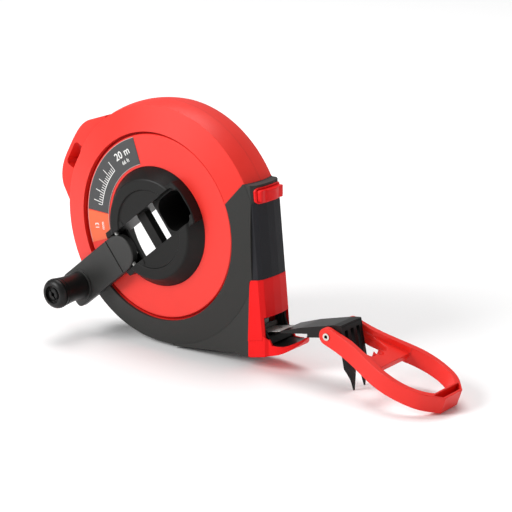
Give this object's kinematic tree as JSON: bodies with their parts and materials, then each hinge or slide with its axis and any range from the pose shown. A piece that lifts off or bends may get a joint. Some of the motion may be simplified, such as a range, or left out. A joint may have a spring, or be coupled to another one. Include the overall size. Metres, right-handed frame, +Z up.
{
  "type": "long measuring tape",
  "caption": "Closed-case long measuring tape with folding winding crank, spiked claw hook and swinging pull ring",
  "frame": {"origin": "middle of the footprint of the whole tool as it stands, on the ground", "axes": "+X from the drum towards the blade's mouth and pull ring, +Y from the crank side to the back of the case, +Z up"},
  "size_m": [0.2464, 0.0632, 0.1318],
  "materials": {
    "red_shell": "moulded red ABS, satin",
    "red_ring": "moulded red nylon, satin",
    "soft_grip": "fine grained black elastomer",
    "black_plastic": "moulded black nylon, satin",
    "bearing_plastic": "black acetal",
    "white_plastic": "natural acetal",
    "felt": "pressed felt",
    "blade": "steel blade with pale coating",
    "coil": "wound steel blade",
    "steel": "bright steel",
    "black_steel": "black coated steel",
    "nickel": "nickel plated brass",
    "label_grey": "printed film label",
    "label_orange": "printed film label",
    "pad_rubber": "moulded rubber"
  },
  "bodies": {
    "case": {"front_shell": "red_shell", "rear_shell": "red_shell", "front_grip": "soft_grip", "rear_grip": "soft_grip", "nose_panel": "soft_grip", "mouth_guard": "red_shell", "foot": "red_shell", "foot_insert": "black_plastic", "mouth_liner": "black_plastic", "felt_wipers": "felt", "front_bearing_ring": "red_ring", "rear_bearing_ring": "bearing_plastic", "case_screws": "black_steel", "roller_pin": "steel", "spring_plate": "steel", "button_bezel": "red_ring", "brake_spring": "steel"},
    "roller": {"guide_roller": "white_plastic"},
    "button": {"lock_button": "red_ring", "brake_pad": "pad_rubber"},
    "drum": {"crank_hub": "black_plastic", "label_disc": "red_shell", "length_label": "label_grey", "class_label": "label_orange", "front_flange": "white_plastic", "rear_flange": "white_plastic", "drum_core": "black_plastic", "tape_coil": "coil", "coil_clip": "steel", "hub_screws": "steel", "hinge_pin": "steel", "detent_spring": "steel"},
    "arm": {"crank_arm": "black_plastic", "knob_axle": "black_plastic"},
    "knob": {"crank_knob": "black_plastic"},
    "hook": {"blade_strip": "blade", "hook_body": "black_plastic", "hook_claw": "black_steel", "hook_rivets": "black_steel", "eyelet_pin": "nickel"},
    "ring": {"pull_ring": "red_ring"}
  },
  "joints": [
    {"name": "drum_spin", "type": "hinge", "parent": "case", "child": "drum", "pos_m": [-0.05262, -0.00229, 0.06622], "axis": [0, 1, 0], "continuous": true},
    {"name": "crank_fold", "type": "hinge", "parent": "drum", "child": "arm", "pos_m": [-0.07026, -0.00779, 0.05193], "axis": [-0.6293, 0, 0.7771], "range_deg": [0, 180]},
    {"name": "knob_spin", "type": "hinge", "parent": "arm", "child": "knob", "pos_m": [-0.10173, -0.01079, 0.02644], "axis": [0, 1, 0], "continuous": true},
    {"name": "tape_pull", "type": "slide", "parent": "case", "child": "hook", "axis": [0.9763, 0, 0.2164], "range_m": [-0.004, 0.04]},
    {"name": "ring_swing", "type": "hinge", "parent": "hook", "child": "ring", "pos_m": [0.05538, -0.00229, 0.02772], "axis": [0, 1, 0], "range_deg": [-120, 24]},
    {"name": "roller_spin", "type": "hinge", "parent": "case", "child": "roller", "pos_m": [0.00246, -0.00229, 0.02157], "axis": [0, 1, 0], "range_deg": [-700, 120]},
    {"name": "button_press", "type": "slide", "parent": "case", "child": "button", "axis": [-1, 0, 0], "range_m": [0, 0.0015], "stiffness_N_per_m": 600, "deforming": ["brake_spring"]}
  ],
  "couplings": [
    {"joint": "roller_spin", "follows": "tape_pull", "rad_per_m": -294.12}
  ]
}
